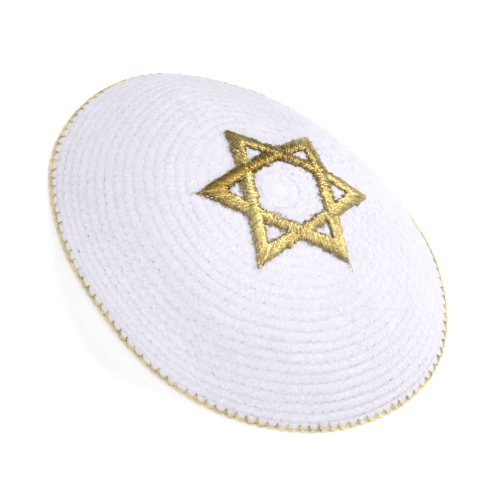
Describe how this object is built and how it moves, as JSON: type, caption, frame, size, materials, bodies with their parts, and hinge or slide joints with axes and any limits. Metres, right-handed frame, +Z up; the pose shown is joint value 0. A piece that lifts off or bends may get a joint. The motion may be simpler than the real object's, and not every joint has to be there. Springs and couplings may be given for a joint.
{
  "type": "knitted kippah",
  "caption": "Shallow round white knitted skullcap with a gold six-pointed star embroidered on its crown and a gold thread edging round its rim.",
  "frame": {"origin": "under the middle of the outline, on the surface that the rim rests on", "axes": "+Z up through the crown, +X along the longer way across the rim, -Y towards the side that the picture shows nearest"},
  "size_m": [0.1856, 0.1542, 0.0498],
  "materials": {
    "white_yarn": "matt crocheted cotton yarn, very slightly lavender white",
    "gold_thread": "shiny gold metallic embroidery thread in satin stitch"
  },
  "bodies": {
    "root": {"knitted_cap": "white_yarn", "edge_trim": "gold_thread", "star_embroidery": "gold_thread"}
  },
  "joints": []
}
